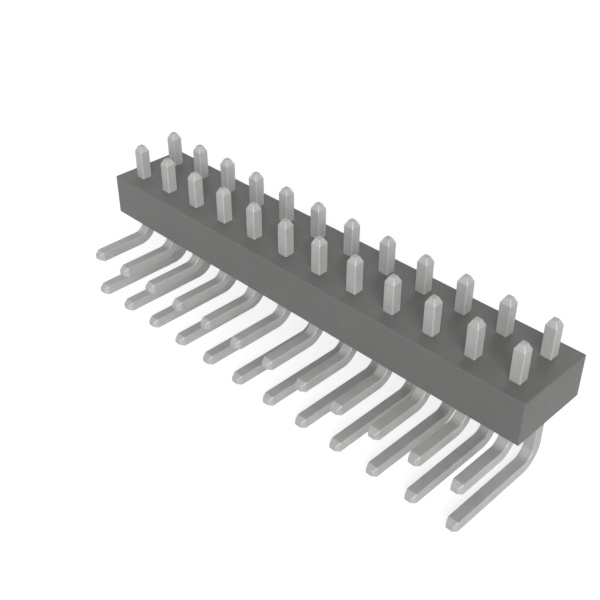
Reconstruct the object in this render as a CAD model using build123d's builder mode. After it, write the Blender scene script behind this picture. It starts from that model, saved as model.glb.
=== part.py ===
from build123d import *
import os

# A right-angle pin header: one moulded insulator with two rows of square pins pressed through it.
# Each pin stands straight out of the mating side, bends once under the insulator and runs to the board side.
# X runs along the rows, -Y points into the circuit board and +Z points out of the mating side.
# The origin is the centre of the insulator face that seats on the board. All sizes are in millimetres.

# Contact grid
COLUMNS = 12
PITCH = 2.54  # between columns
ROW_SPACING = 2.54  # between the two rows

# Insulator
INSULATOR_HEIGHT = 2.54  # along the pins, from the tail side to the mating side
END_WALL = 1.27  # from the last column's centre line to the end face
BOARD_WALL = 1.27  # from the front row's centre line to the face that seats on the board
BACK_WALL = 1.27  # from the back row's centre line to the back face
EDGE_RADIUS = 0.05  # the small radius that a mould leaves on every outer edge
LEAD_IN = 0.12  # chamfer at the mouth of each pin hole, on the tail side

# Pins
PIN_WIDTH = 0.64  # the square wire's side
MATING_LENGTH = 2.09  # from the insulator's mating side to the pin's end
TAIL_DROP = 1.625  # from the insulator's tail side down to the front row's tail centre line
TAIL_ROW_SPACING = 2.54  # between the front and back rows' tail centre lines
TAIL_LENGTH = 2.89  # from the board-seating face to the tail's end
BEND_INNER_RADIUS = 0.65

# Coined points, each a short pyramid with its top cut off
MATING_POINT_LENGTH = 0.33
MATING_POINT_FACE = 0.3  # side of the square end face
TAIL_POINT_LENGTH = 0.32
TAIL_POINT_FACE_WIDTH = 0.4  # end face, along the header
TAIL_POINT_FACE_HEIGHT = 0.29  # end face, across it

# Places that follow from the sizes above
insulator_length = (COLUMNS - 1) * PITCH + 2 * END_WALL
insulator_depth = BOARD_WALL + ROW_SPACING + BACK_WALL
mating_side = INSULATOR_HEIGHT / 2
tail_side = -INSULATOR_HEIGHT / 2
front_row = BOARD_WALL
back_row = front_row + ROW_SPACING
front_tail = tail_side - TAIL_DROP
back_tail = front_tail - TAIL_ROW_SPACING
bend_radius = BEND_INNER_RADIUS + PIN_WIDTH / 2


def make_insulator():
    """The plain moulded block, with a square hole the width of a pin at each place of the grid."""
    with BuildPart() as insulator:
        with BuildSketch(Plane.XY.offset(tail_side)):
            with Locations((0, insulator_depth / 2)):
                Rectangle(insulator_length, insulator_depth)
        extrude(amount=INSULATOR_HEIGHT)
        fillet(insulator.edges(), radius=EDGE_RADIUS)
        with BuildSketch(Plane.XY.offset(tail_side)):
            with Locations((0, (front_row + back_row) / 2)):
                with GridLocations(PITCH, ROW_SPACING, COLUMNS, 2):
                    Rectangle(PIN_WIDTH, PIN_WIDTH)
        extrude(amount=INSULATOR_HEIGHT, mode=Mode.SUBTRACT)
        tail_face = insulator.faces().sort_by(Axis.Z)[0]
        mouths = ShapeList(edge for wire in tail_face.inner_wires() for edge in wire.edges())
        chamfer(mouths, length=LEAD_IN)
    insulator.part.label = "insulator"
    return insulator.part


def make_pin(label, column_x, row_y, tail_z):
    """Square wire swept down, round one bend and out to the board side, with a point at each end."""
    mating_end = mating_side + MATING_LENGTH - MATING_POINT_LENGTH
    tail_end = TAIL_POINT_LENGTH - TAIL_LENGTH
    with BuildPart() as pin:
        with BuildLine(Plane.YZ.offset(column_x)) as path:
            FilletPolyline((row_y, mating_end), (row_y, tail_z), (tail_end, tail_z), radius=bend_radius)
        mating_plane = Plane(origin=path.line @ 0, x_dir=(1, 0, 0), z_dir=-(path.line % 0))
        tail_plane = Plane(origin=path.line @ 1, x_dir=(1, 0, 0), z_dir=path.line % 1)
        with BuildSketch(mating_plane):
            Rectangle(PIN_WIDTH, PIN_WIDTH)
        sweep(path=path.line)
        with BuildSketch(mating_plane):
            Rectangle(PIN_WIDTH, PIN_WIDTH)
        with BuildSketch(mating_plane.offset(MATING_POINT_LENGTH)):
            Rectangle(MATING_POINT_FACE, MATING_POINT_FACE)
        loft(ruled=True)
        with BuildSketch(tail_plane):
            Rectangle(PIN_WIDTH, PIN_WIDTH)
        with BuildSketch(tail_plane.offset(TAIL_POINT_LENGTH)):
            Rectangle(TAIL_POINT_FACE_WIDTH, TAIL_POINT_FACE_HEIGHT)
        loft(ruled=True)
    pin.part.label = label
    return pin.part


pieces = [make_insulator()]
for column in range(COLUMNS):
    column_x = (column - (COLUMNS - 1) / 2) * PITCH
    pieces.append(make_pin(f"front_pin_{column + 1:02d}", column_x, front_row, front_tail))
    pieces.append(make_pin(f"back_pin_{column + 1:02d}", column_x, back_row, back_tail))

os.makedirs("parts", exist_ok=True)
for piece in pieces:
    export_step(piece, f"parts/{piece.label}.step")
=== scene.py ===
"""The looks of a right-angle pin header.

One moulded insulator carries two rows of bent square pins, which are plated with tin."""

import bmesh
import bpy
import numpy as np
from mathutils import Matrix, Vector


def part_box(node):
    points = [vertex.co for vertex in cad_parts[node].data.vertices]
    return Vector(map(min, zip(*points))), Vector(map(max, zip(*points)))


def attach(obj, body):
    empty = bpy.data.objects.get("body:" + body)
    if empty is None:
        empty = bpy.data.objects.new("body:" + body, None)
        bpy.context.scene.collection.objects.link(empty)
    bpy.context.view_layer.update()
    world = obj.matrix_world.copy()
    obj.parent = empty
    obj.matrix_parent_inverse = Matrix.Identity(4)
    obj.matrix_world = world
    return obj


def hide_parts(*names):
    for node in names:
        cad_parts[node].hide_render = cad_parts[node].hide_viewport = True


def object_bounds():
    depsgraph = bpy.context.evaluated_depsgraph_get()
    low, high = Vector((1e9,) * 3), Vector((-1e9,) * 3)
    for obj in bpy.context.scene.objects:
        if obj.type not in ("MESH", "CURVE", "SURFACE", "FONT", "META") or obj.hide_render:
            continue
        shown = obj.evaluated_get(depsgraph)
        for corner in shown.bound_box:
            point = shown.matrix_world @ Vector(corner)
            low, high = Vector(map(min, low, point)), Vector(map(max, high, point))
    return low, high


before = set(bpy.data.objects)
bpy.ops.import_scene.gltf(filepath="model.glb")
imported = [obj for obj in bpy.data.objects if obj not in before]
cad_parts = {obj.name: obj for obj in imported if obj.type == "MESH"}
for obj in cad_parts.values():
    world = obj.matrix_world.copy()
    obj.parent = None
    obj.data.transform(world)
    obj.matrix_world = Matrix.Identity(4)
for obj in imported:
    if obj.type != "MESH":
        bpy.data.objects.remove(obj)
cad_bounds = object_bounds()

# Lengths are written in millimetres, and this factor turns them to metres.
MM = 0.001

# Pins, beyond what their boxes in the frame give
BEND_INNER_RADIUS = 0.65
MATING_POINT_LENGTH = 0.33
MATING_POINT_FACE = (0.30, 0.30)  # along the header, across the wire
TAIL_POINT_LENGTH = 0.32
TAIL_POINT_FACE = (0.40, 0.29)
WIRE_CORNER_RADIUS = 0.05  # drawn wire never has a sharp corner
COINED_EDGE = 0.02  # how far the rounding of a coined edge reaches
BEND_BULGE = 0.035  # share by which the inside of the bend widens and the outside narrows
PIN_MAP_STEP = 17.3  # longer than a pin, so that no two pins show the same stretch of the finish

# Insulator
INSULATOR_EDGE_RADIUS = 0.05
HOLE_RIM_RADIUS = 0.03  # mating side
HOLE_LEAD_IN = 0.12  # tail side
FLAT_MARGIN = 0.03  # a narrow flat strip beside each rounding, which keeps the wide flats flat in shading
GRID_DECIMALS = 4  # the pins of a row or column share its place to so many decimals

# How finely the rounded places are cut
PIN_CORNER_STEPS = 5
BEND_STEPS = 28
STRAIGHT_STEPS = 6
COINED_STEPS = 5
BLOCK_EDGE_STEPS = 8
CELL_SIDE_STEPS = 6
RIM_STEPS = 4
SHARP_ANGLE = np.radians(38)  # only the holes and their lead-ins turn more than this at an edge

# Finishes: most values of a noise lie between the first two, and most sums of two between the others
NOISE_LOW, NOISE_HIGH = 0.3, 0.7
SUM_LOW, SUM_HIGH = 0.7, 1.3

# Sockets of a Mix node that mixes colours
FACTOR, COLOUR_A, COLOUR_B, MIXED = 0, 6, 7, 2

# Stage
WHITE = (1.0, 1.0, 1.0, 1.0)
FLOOR_GREY = "#A8A8A8"  # keeps the light that the floor throws up at the pins low
FLOOR_LIFT = 0.76  # brings that grey up to white, for the camera and for reflections alone
FLOOR_HALF_SIZE = 3000
FLOOR_GAP = 0.005  # keeps the floor out of the plane of the pins that lie on it
AMBIENT = 0.15  # how strongly the white surround lights the header
LAMP_WIDTH = np.radians(45)  # how wide each lamp looks from the header
LAMPS = {  # where each lamp stands, seen from the header, and its irradiance in units of pi
    "key": ((0.66, -0.59, 0.47), 0.88),
    "low_key": ((0.75, -0.65, 0.15), 0.48),  # reaches the pins under the block
    "high_fill": ((0.3, -0.53, 0.79), 0.08),
    "back_fill": ((-0.17, 0.98, 0.1), 0.42),
    "left_fill": ((-1.0, 0.0, 0.1), 0.32),
}

# Camera, fitted to the photograph
VIEW_DIRECTION = (1, -1, 1)  # where the camera stands, seen from the header
CAMERA_DISTANCE = 53.17
CAMERA_LENS = 57.26  # Blender takes the lens and the sensor in millimetres
CAMERA_SENSOR = 36
CAMERA_SEES_FROM, CAMERA_SEES_TO = 1, 10000


def linear(srgb_hex):
    """An sRGB hex colour as linear red, green, blue and an alpha of 1, by the standard sRGB curve."""
    srgb = np.array([int(srgb_hex[i:i + 2], 16) for i in (1, 3, 5)]) / 255
    rgb = np.where(srgb <= 0.04045, srgb / 12.92, ((srgb + 0.055) / 1.055) ** 2.4)
    return (*rgb.tolist(), 1.0)


def add(tree, kind, values=(), links=(), **attributes):
    """Adds one node to the tree, with its settings, its unlinked inputs and its links."""
    node = tree.nodes.new(kind)
    for name, value in attributes.items():
        setattr(node, name, value)
    for socket, value in dict(values).items():
        node.inputs[socket].default_value = value
    for socket, source in dict(links).items():
        tree.links.new(source, node.inputs[socket])
    return node


def new_material(name):
    """An empty node material and its tree."""
    material = bpy.data.materials.new(name)
    material.use_nodes = True
    material.node_tree.nodes.clear()
    return material, material.node_tree


def glass_filled_polyester():
    """Glass-filled polyester as it leaves a spark-eroded mould.

    It is matt and dark grey, with a fine even grain, slow cloudy changes of tone where the melt flowed,
    and short pale flecks where glass fibres lie at the surface."""
    grain_mm = 0.11  # the real grain is about 0.03 mm, drawn coarser so that it shows
    grain_depth_mm = 0.012
    cloud_mm = 3.0
    fibre_mm = (0.5, 0.07, 0.07)  # the real fibres are 0.01 mm thick, drawn thicker so that they show
    fibre_starts, fibre_full = 0.66, 0.78  # values of the noise between which a fibre comes to show
    fibre_share = 0.35  # how much of a fibre's own colour comes through the resin
    smoothest, roughest = 0.52, 0.66
    material, tree = new_material("glass_filled_polyester")
    place = add(tree, "ShaderNodeTexCoord").outputs["Object"]
    in_mm = add(tree, "ShaderNodeMapping", {"Scale": (1 / MM,) * 3}, {"Vector": place}).outputs[0]
    grain = add(tree, "ShaderNodeTexNoise", {"Scale": 1 / grain_mm, "Detail": 2.0, "Roughness": 0.6},
                {"Vector": in_mm})
    cloud = add(tree, "ShaderNodeTexNoise", {"Scale": 1 / cloud_mm, "Detail": 4.0, "Roughness": 0.55},
                {"Vector": in_mm})
    along_flow = add(tree, "ShaderNodeMapping", {"Scale": tuple(1 / size for size in fibre_mm)},
                     {"Vector": in_mm})
    fibres = add(tree, "ShaderNodeTexNoise", {"Scale": 1.0, "Detail": 1.0},
                 {"Vector": along_flow.outputs[0]})
    fleck = add(tree, "ShaderNodeMapRange",
                {"From Min": fibre_starts, "From Max": fibre_full, "To Max": fibre_share},
                {"Value": fibres.outputs["Fac"]})
    tone = add(tree, "ShaderNodeMapRange", {"From Min": NOISE_LOW, "From Max": NOISE_HIGH},
               {"Value": cloud.outputs["Fac"]})
    clouded = add(tree, "ShaderNodeMix", {COLOUR_A: linear("#5B5B5A"), COLOUR_B: linear("#60605F")},
                  {FACTOR: tone.outputs[0]}, data_type="RGBA")
    flecked = add(tree, "ShaderNodeMix", {COLOUR_B: linear("#7A7A78")},
                  {FACTOR: fleck.outputs[0], COLOUR_A: clouded.outputs[MIXED]}, data_type="RGBA")
    roughness = add(tree, "ShaderNodeMapRange",
                    {"From Min": NOISE_LOW, "From Max": NOISE_HIGH,
                     "To Min": smoothest, "To Max": roughest},
                    {"Value": grain.outputs["Fac"]})
    bump = add(tree, "ShaderNodeBump", {"Strength": 0.5, "Distance": grain_depth_mm * MM},
               {"Height": grain.outputs["Fac"]})
    shader = add(tree, "ShaderNodeBsdfPrincipled", {"IOR": 1.55},
                 {"Base Color": flecked.outputs[MIXED], "Roughness": roughness.outputs[0],
                  "Normal": bump.outputs[0]})
    add(tree, "ShaderNodeOutputMaterial", links={"Surface": shader.outputs[0]})
    return material


def matt_tin_plate():
    """Matt tin, electroplated over drawn brass wire.

    It is a soft light grey with a faint satin sheen. The wire's drawing lines run along it under the plate,
    and the plate's own grain makes the sheen slightly uneven. The plate is as matt, and as little metallic,
    as the even light grey of the photograph's pins asks for: a fully metallic one comes out darker."""
    draw_line_mm = (2.5, 0.07)  # along the wire and round it, drawn wider than real ones so that they show
    plate_grain_mm = 0.12  # the real grain is under 0.01 mm, drawn coarser so that it shows
    blotch_mm = 1.25  # slow changes of tone, where the plate came out slightly thicker or thinner
    surface_depth_mm = 0.006
    smoothest, roughest = 0.5, 0.62
    material, tree = new_material("matt_tin_plate")
    along = add(tree, "ShaderNodeUVMap", uv_map="wire_mm").outputs[0]
    drawn = add(tree, "ShaderNodeMapping", {"Scale": (1 / draw_line_mm[0], 1 / draw_line_mm[1], 1)},
                {"Vector": along})
    lines = add(tree, "ShaderNodeTexNoise", {"Scale": 1.0, "Detail": 3.0, "Roughness": 0.6},
                {"Vector": drawn.outputs[0]})
    grain = add(tree, "ShaderNodeTexNoise", {"Scale": 1 / plate_grain_mm, "Detail": 3.0, "Roughness": 0.6},
                {"Vector": along})
    blotch = add(tree, "ShaderNodeTexNoise", {"Scale": 1 / blotch_mm, "Detail": 2.0}, {"Vector": along})
    tone = add(tree, "ShaderNodeMapRange", {"From Min": NOISE_LOW, "From Max": NOISE_HIGH},
               {"Value": blotch.outputs["Fac"]})
    colour = add(tree, "ShaderNodeMix", {COLOUR_A: linear("#A3A3A2"), COLOUR_B: linear("#ADADAC")},
                 {FACTOR: tone.outputs[0]}, data_type="RGBA")
    uneven = add(tree, "ShaderNodeMath", links={0: lines.outputs["Fac"], 1: grain.outputs["Fac"]},
                 operation="ADD")
    roughness = add(tree, "ShaderNodeMapRange",
                    {"From Min": SUM_LOW, "From Max": SUM_HIGH, "To Min": smoothest, "To Max": roughest},
                    {"Value": uneven.outputs[0]})
    bump = add(tree, "ShaderNodeBump", {"Strength": 0.35, "Distance": surface_depth_mm * MM},
               {"Height": uneven.outputs[0]})
    shader = add(tree, "ShaderNodeBsdfPrincipled", {"Metallic": 0.3},
                 {"Base Color": colour.outputs[MIXED], "Roughness": roughness.outputs[0],
                  "Normal": bump.outputs[0]})
    add(tree, "ShaderNodeOutputMaterial", links={"Surface": shader.outputs[0]})
    return material


def rounded_runs(corners, reach, steps):
    """Points along straight runs whose corners are rounded.

    Each inner corner C is replaced by the quadratic curve (1-t)^2 A + 2t(1-t) C + t^2 B, where A and B lie
    the distance reach before and after C on its two runs."""
    corners = np.asarray(corners, float)
    before, inner, after = corners[:-2], corners[1:-1], corners[2:]
    back = (before - inner) / np.linalg.norm(before - inner, axis=1, keepdims=True)
    on = (after - inner) / np.linalg.norm(after - inner, axis=1, keepdims=True)
    start, end = inner + reach * back, inner + reach * on
    t = np.linspace(0, 1, steps)[None, :, None]
    curves = (1 - t) ** 2 * start[:, None] + 2 * t * (1 - t) * inner[:, None] + t ** 2 * end[:, None]
    return np.vstack([corners[:1], curves.reshape(-1, corners.shape[1]), corners[-1:]])


def ring_quads(rings, around, first):
    """The four corners of each face between neighbouring closed rings, counted from the point first."""
    ring, side = np.divmod(np.arange((rings - 1) * around), around)
    follow = (side + 1) % around
    return first + np.stack([ring * around + side, ring * around + follow,
                             (ring + 1) * around + follow, (ring + 1) * around + side], axis=1)


def pin_rings(total, bend_start, bend_end, half):
    """Rings of a pin: the distance along the wire, and the half-width along the header and across the wire.

    The wire keeps its full half-width between its two points. In a point both half-widths fall in a
    straight line to those of the end face, and the outermost ring of each end lies within that face."""
    mating_face, tail_face = np.array([MATING_POINT_FACE, TAIL_POINT_FACE]) / 2
    within = 0.5  # the outermost ring's share of the end face
    mating = rounded_runs([(0, *(within * mating_face)), (0, *mating_face),
                           (MATING_POINT_LENGTH, half, half), (bend_start, half, half)],
                          COINED_EDGE, COINED_STEPS)[:-1]
    tail = rounded_runs([(bend_end, half, half), (total - TAIL_POINT_LENGTH, half, half),
                         (total, *tail_face), (total, *(within * tail_face))],
                        COINED_EDGE, COINED_STEPS)[1:]
    middle = np.concatenate([
        np.linspace(mating[-1, 0], bend_start, STRAIGHT_STEPS)[1:-1],
        np.linspace(bend_start, bend_end, BEND_STEPS),
        np.linspace(bend_end, tail[0, 0], STRAIGHT_STEPS)[1:-1],
    ])
    shaft = np.column_stack([middle, np.full((middle.size, 2), half)])
    return np.vstack([mating, shaft, tail])


def wire_section():
    """The corners of a rounded square section, as one row for each point round it.

    A row holds the signs of the corner's centre, the cosine and sine of the direction from it, and a slide
    along the flat beside it, which is zero on the arc."""
    turn = np.linspace(0, np.pi / 2, PIN_CORNER_STEPS)
    turn = np.concatenate([turn[:1], turn, turn[-1:]])
    slide = np.zeros(turn.size)
    slide[0], slide[-1] = -FLAT_MARGIN, FLAT_MARGIN
    quarter = np.pi / 2 * np.arange(4)[:, None]
    angle = (turn + quarter).ravel()
    sign_x = np.repeat([1, -1, -1, 1], turn.size)
    sign_n = np.repeat([1, 1, -1, -1], turn.size)
    return sign_x, sign_n, np.cos(angle), np.sin(angle), np.tile(slide, 4)


def pin_mesh(name, low, high, order):
    """Square wire that comes down from its mating end, turns once and runs level to its tail end.

    At a distance s along the wire, with r the radius of the bend's centre line and a its start, the wire
    has turned by q = (s - a) / r, held between 0 and a right angle. Its centre is at
    y = row - r (1 - cos q) - max(s - end of bend, 0) and z = top - min(s, a) - r sin q, and the direction
    across it, towards the outside of the bend, is (cos q, -sin q) in y and z. In the bend the width along
    the header grows on the inside and shrinks on the outside, by BEND_BULGE times the square of sin 2q.
    In the two points the radius of the corners shrinks with the section."""
    low, high = np.array(low) / MM, np.array(high) / MM
    half = (high[0] - low[0]) / 2
    centre_x, row = (low[0] + high[0]) / 2, high[1] - half
    level, top, tail_end = low[2] + half, high[2], low[1]
    radius = BEND_INNER_RADIUS + half
    bend_start = top - level - radius
    bend_end = bend_start + np.pi / 2 * radius
    total = bend_end + row - radius - tail_end
    s, half_x, half_n = (column[:, None] for column in pin_rings(total, bend_start, bend_end, half).T)
    sign_x, sign_n, cos_a, sin_a, slide = (values[None, :] for values in wire_section())
    shrink = np.minimum(half_x, half_n) / half
    corner, margin = WIRE_CORNER_RADIUS * shrink, slide * shrink
    across_x = sign_x * (half_x - corner) + corner * cos_a - margin * sin_a
    across_n = sign_n * (half_n - corner) + corner * sin_a + margin * cos_a
    turned = np.clip((s - bend_start) / radius, 0, np.pi / 2)
    across_x = across_x * (1 - BEND_BULGE * np.sin(2 * turned) ** 2 * across_n / half)
    x = centre_x + across_x
    y = row - radius * (1 - np.cos(turned)) - np.maximum(s - bend_end, 0) + across_n * np.cos(turned)
    z = top - np.minimum(s, bend_start) - radius * np.sin(turned) - across_n * np.sin(turned)
    return tube_mesh(name, np.stack([x, y, z], axis=-1), s.ravel(), order)


def tube_mesh(name, points, s, order):
    """A closed mesh from rings of points, with a UV map in millimetres along and round the wire.

    Every pin's map starts at its own place, so that no two pins have the same marks."""
    rings, around = points.shape[:2]
    quads = ring_quads(rings, around, 0)[:, ::-1]
    first_cap = np.arange(around)
    last_cap = (rings - 1) * around + first_cap[::-1]
    mesh = bpy.data.meshes.new(name)
    mesh.from_pydata((points.reshape(-1, 3) * MM).tolist(), [],
                     quads.tolist() + [first_cap.tolist(), last_cap.tolist()])
    shaft = points[rings // 2]
    steps = np.linalg.norm(np.roll(shaft, -1, axis=0) - shaft, axis=1)
    round_mm = np.concatenate([[0], np.cumsum(steps)])
    own_start = PIN_MAP_STEP * order
    ring, side = np.divmod(np.arange((rings - 1) * around), around)
    along_uv = own_start + np.stack([s[ring], s[ring], s[ring + 1], s[ring + 1]], axis=1)
    round_uv = np.stack([round_mm[side], round_mm[side + 1], round_mm[side + 1], round_mm[side]], axis=1)
    quad_uv = np.stack([along_uv, round_uv], axis=-1)[:, ::-1]
    # The end face lies level at the mating end, in x and y, and upright at the tail end, in x and z.
    cap_uv = own_start + np.concatenate([(points[0] - points[0].mean(axis=0))[:, :2],
                                         (points[-1] - points[-1].mean(axis=0))[::-1, ::2]])
    uv = mesh.uv_layers.new(name="wire_mm")
    uv.data.foreach_set("uv", np.concatenate([quad_uv.reshape(-1, 2), cap_uv]).astype(np.float32).ravel())
    return mesh


def grid_points(x, y):
    """The points of a grid in a row, shaped to spread over the rings and over the points of a ring."""
    return np.stack(np.meshgrid(x, y, indexing="ij"), axis=-1).reshape(-1, 1, 1, 2)


def block_cells(xs, ys, hole_half, bottom, top):
    """The part of the block round each hole, as rings of points from the mating side to the tail side.

    A cell's first and last rings are its own rectangle on the block's two flats. Between them the rings are
    squares of half-width q at a height z: a narrow flat, the rounded rim q = h + r - r sin a with
    z = top - r + r cos a, the straight wall, the lead-in and a narrow flat again."""
    turn = np.linspace(0, np.pi / 2, RIM_STEPS)
    rim_q = hole_half + HOLE_RIM_RADIUS * (1 - np.sin(turn))
    rim_z = top - HOLE_RIM_RADIUS * (1 - np.cos(turn))
    mouth = hole_half + HOLE_LEAD_IN
    q = np.concatenate([[rim_q[0] + FLAT_MARGIN], rim_q, [hole_half, mouth, mouth + FLAT_MARGIN]])
    z = np.concatenate([[top], rim_z, [bottom + HOLE_LEAD_IN, bottom, bottom]])
    t = np.linspace(0, 1, CELL_SIDE_STEPS, endpoint=False)
    flat_t, one = 2 * t - 1, np.ones(t.size)
    unit = np.stack([np.concatenate([flat_t, one, -flat_t, -one]),
                     np.concatenate([-one, flat_t, one, -flat_t])], axis=-1)
    middle = grid_points(xs["middle"], ys["middle"])
    low = grid_points(xs["edge"][:-1], ys["edge"][:-1])
    high = grid_points(xs["edge"][1:], ys["edge"][1:])
    border = low + (high - low) * (unit[None, None] + 1) / 2
    holes = middle + q[None, :, None, None] * unit[None, None]
    flat = np.concatenate([border, holes, border], axis=1)
    heights = np.concatenate([[top], z, [bottom]])[None, :, None, None] * np.ones((*flat.shape[:3], 1))
    return np.concatenate([flat, heights], axis=-1)


def block_sides(xs, ys, bottom, top):
    """The block's outside, as rings of points from the mating side to the tail side.

    With B a point of the rectangle between the rounded edges, m the direction of its mitre and d its
    outward direction, a ring is B - c m + p d: c is the narrow flat's width on the first and last rings
    and nought between them, and p = r sin a with z = top - r + r cos a over the rounded edge."""
    r = INSULATOR_EDGE_RADIUS
    turn = np.linspace(0, np.pi / 2, BLOCK_EDGE_STEPS)
    out = r * np.sin(turn)
    drop = r * (1 - np.cos(turn))
    inset = np.concatenate([[FLAT_MARGIN], np.zeros(2 * turn.size + 2), [FLAT_MARGIN]])
    reach = np.concatenate([[0], out, [r, r], out[::-1], [0]])
    height = np.concatenate([[top], top - drop, [top - r - FLAT_MARGIN, bottom + r + FLAT_MARGIN],
                             bottom + drop[::-1], [bottom]])
    t = np.linspace(0, 1, CELL_SIDE_STEPS, endpoint=False)
    split_x = (xs["edge"][:-1, None] + np.diff(xs["edge"])[:, None] * t).ravel()[1:]
    split_y = (ys["edge"][:-1, None] + np.diff(ys["edge"])[:, None] * t).ravel()[1:]
    (x0, x1), (y0, y1) = xs["flat"], ys["flat"]
    sides = [(split_x, y0, (0, -1)), (split_y, x1, (1, 0)),
             (split_x[::-1], y1, (0, 1)), (split_y[::-1], x0, (-1, 0))]
    base, mitre, outward = [], [], []
    for run, fixed, facing in sides:
        still = np.full(run.size, fixed)
        direction = np.array(facing)
        base.append(np.stack([still, run] if direction[0] else [run, still], axis=-1))
        mitre.append(np.tile(direction, (run.size, 1)))
        outward.append(np.tile(direction, (run.size, 1)))
        to_corner = direction + [-direction[1], direction[0]]
        arc = np.arctan2(direction[1], direction[0]) + np.linspace(0, np.pi / 2, BLOCK_EDGE_STEPS)
        base.append(np.tile(np.where(to_corner > 0, [x1, y1], [x0, y0]), (arc.size, 1)))
        mitre.append(np.tile(to_corner, (arc.size, 1)))
        outward.append(np.stack([np.cos(arc), np.sin(arc)], axis=-1))
    base, mitre, outward = (np.concatenate(rows)[None] for rows in (base, mitre, outward))
    flat = base - inset[:, None, None] * mitre + reach[:, None, None] * outward
    return np.concatenate([flat, height[:, None, None] * np.ones((*flat.shape[:2], 1))], axis=-1)


def insulator_mesh(name, low, high, pin_boxes):
    """The moulded block: a band round each hole, and one band round the outside, joined along the flats."""
    low, high = np.array(low) / MM, np.array(high) / MM
    boxes = np.array([[list(lo), list(hi)] for lo, hi in pin_boxes]) / MM
    half = (boxes[0, 1, 0] - boxes[0, 0, 0]) / 2
    column_x = np.unique(boxes[:, :, 0].mean(axis=1).round(GRID_DECIMALS))
    row_y = np.unique((boxes[:, 1, 1] - half).round(GRID_DECIMALS))
    axes = []
    for middle, lo, hi in ((column_x, low[0], high[0]), (row_y, low[1], high[1])):
        flat = np.array([lo + INSULATOR_EDGE_RADIUS, hi - INSULATOR_EDGE_RADIUS])
        between = (middle[:-1] + middle[1:]) / 2
        edge = np.concatenate([[flat[0] + FLAT_MARGIN], between, [flat[1] - FLAT_MARGIN]])
        axes.append({"middle": middle, "flat": flat, "edge": edge})
    cells = block_cells(*axes, half, low[2], high[2])
    sides = block_sides(*axes, low[2], high[2])
    count, rings, around = cells.shape[:3]
    starts = np.arange(count)[:, None, None] * rings * around
    cell_faces = (ring_quads(rings, around, 0)[None] + starts).reshape(-1, 4)
    side_faces = ring_quads(*sides.shape[:2], count * rings * around)
    points = np.concatenate([cells.reshape(-1, 3), sides.reshape(-1, 3)])
    mesh = bpy.data.meshes.new(name)
    mesh.from_pydata((points * MM).tolist(), [], np.concatenate([cell_faces, side_faces]).tolist())
    merge_distance = 0.0005 * MM
    shape = bmesh.new()
    shape.from_mesh(mesh)
    bmesh.ops.remove_doubles(shape, verts=shape.verts, dist=merge_distance)
    bmesh.ops.recalc_face_normals(shape, faces=shape.faces)
    shape.to_mesh(mesh)
    shape.free()
    return mesh


def add_piece(name, mesh, material, slot, *nodes):
    """Puts a finished mesh into the scene in place of the CAD nodes that it stands for."""
    mesh.validate()
    mesh.materials.append(material)
    mesh.polygons.foreach_set("use_smooth", np.ones(len(mesh.polygons), bool))
    mesh.set_sharp_from_angle(angle=SHARP_ANGLE)
    piece = bpy.data.objects.new(name, mesh)
    bpy.context.scene.collection.objects.link(piece)
    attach(piece, "root")
    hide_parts(*nodes)


def seen_rays(tree):
    """An output that is 1 for camera rays, reflections and rays through clear pieces, and 0 for others."""
    rays = add(tree, "ShaderNodeLightPath").outputs
    seen = add(tree, "ShaderNodeMath", links={0: rays["Is Camera Ray"], 1: rays["Is Glossy Ray"]},
               operation="MAXIMUM")
    seen = add(tree, "ShaderNodeMath", links={0: seen.outputs[0], 1: rays["Is Transmission Ray"]},
               operation="MAXIMUM")
    return seen.outputs[0]


def add_floor(bottom):
    """A plain white floor that keeps the header's shadow and shows white to the camera and to reflections.

    Seen from below it is clear, so that the underside can be looked at."""
    material, tree = new_material("white_floor")
    lift = add(tree, "ShaderNodeMath", {1: FLOOR_LIFT}, {0: seen_rays(tree)}, operation="MULTIPLY")
    shader = add(tree, "ShaderNodeBsdfPrincipled",
                 {"Base Color": linear(FLOOR_GREY), "Roughness": 1.0, "Specular IOR Level": 0.0,
                  "Emission Color": WHITE}, {"Emission Strength": lift.outputs[0]})
    clear = add(tree, "ShaderNodeBsdfTransparent")
    below = add(tree, "ShaderNodeNewGeometry").outputs["Backfacing"]
    one_sided = add(tree, "ShaderNodeMixShader",
                    links={0: below, 1: shader.outputs[0], 2: clear.outputs[0]})
    add(tree, "ShaderNodeOutputMaterial", links={"Surface": one_sided.outputs[0]})
    mesh = bpy.data.meshes.new("floor")
    half, height = FLOOR_HALF_SIZE * MM, bottom - FLOOR_GAP * MM
    corners = [(-half, -half, height), (half, -half, height), (half, half, height), (-half, half, height)]
    mesh.from_pydata(corners, [], [(0, 1, 2, 3)])
    mesh.materials.append(material)
    floor = bpy.data.objects.new("floor", mesh)
    bpy.context.scene.collection.objects.link(floor)


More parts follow.
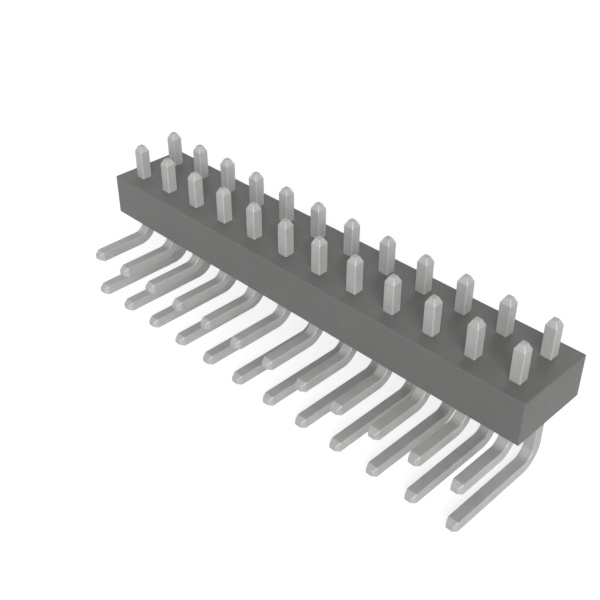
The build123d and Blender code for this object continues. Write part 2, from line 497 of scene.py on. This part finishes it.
def add_world():
    """A white surround for the camera and for reflections, and a soft even fill for everything else."""
    world = bpy.data.worlds.new("white_studio")
    bpy.context.scene.world = world
    world.use_nodes = True
    tree = world.node_tree
    tree.nodes.clear()
    strength = add(tree, "ShaderNodeMapRange", {"To Min": AMBIENT, "To Max": 1.0},
                   {"Value": seen_rays(tree)})
    background = add(tree, "ShaderNodeBackground", {"Color": WHITE}, {"Strength": strength.outputs[0]})
    add(tree, "ShaderNodeOutputWorld", links={"Surface": background.outputs[0]})


def add_lamp(name, direction, irradiance):
    """A large soft lamp far away in the stated direction.

    Its light is as strong at the floor's far edge as at the header, and a face square to it gets the stated
    irradiance, in units of pi."""
    light = bpy.data.lights.new(name, "SUN")
    light.angle = LAMP_WIDTH
    light.energy = irradiance * np.pi
    lamp = bpy.data.objects.new(name, light)
    bpy.context.scene.collection.objects.link(lamp)
    lamp.rotation_euler = Vector(direction).to_track_quat("Z", "Y").to_euler()


def add_camera(target):
    """The photograph's view: equal angles to all three axes, with the object's box in the middle."""
    camera = bpy.data.objects.new("camera", bpy.data.cameras.new("camera"))
    bpy.context.scene.collection.objects.link(camera)
    bpy.context.scene.camera = camera
    direction = Vector(VIEW_DIRECTION).normalized()
    camera.location = target + direction * CAMERA_DISTANCE * MM
    camera.rotation_euler = direction.to_track_quat("Z", "Y").to_euler()
    camera.data.lens = CAMERA_LENS
    camera.data.sensor_width = CAMERA_SENSOR
    camera.data.clip_start = CAMERA_SEES_FROM * MM
    camera.data.clip_end = CAMERA_SEES_TO * MM


add_camera((cad_bounds[0] + cad_bounds[1]) / 2)
add_floor(cad_bounds[0].z)
add_world()
for lamp_name, (lamp_direction, lamp_irradiance) in LAMPS.items():
    add_lamp(lamp_name, lamp_direction, lamp_irradiance)

tin = matt_tin_plate()
plastic = glass_filled_polyester()
pin_names = sorted(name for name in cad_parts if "_pin_" in name)
for order, pin_name in enumerate(pin_names):
    new_name = f"tinned_{pin_name}"
    add_piece(new_name, pin_mesh(new_name, *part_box(pin_name), order), tin, "pins", pin_name)
block = insulator_mesh("moulded_insulator", *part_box("insulator"), [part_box(name) for name in pin_names])
add_piece("moulded_insulator", block, plastic, "insulator", "insulator")

bpy.context.scene.view_settings.view_transform = "Standard"
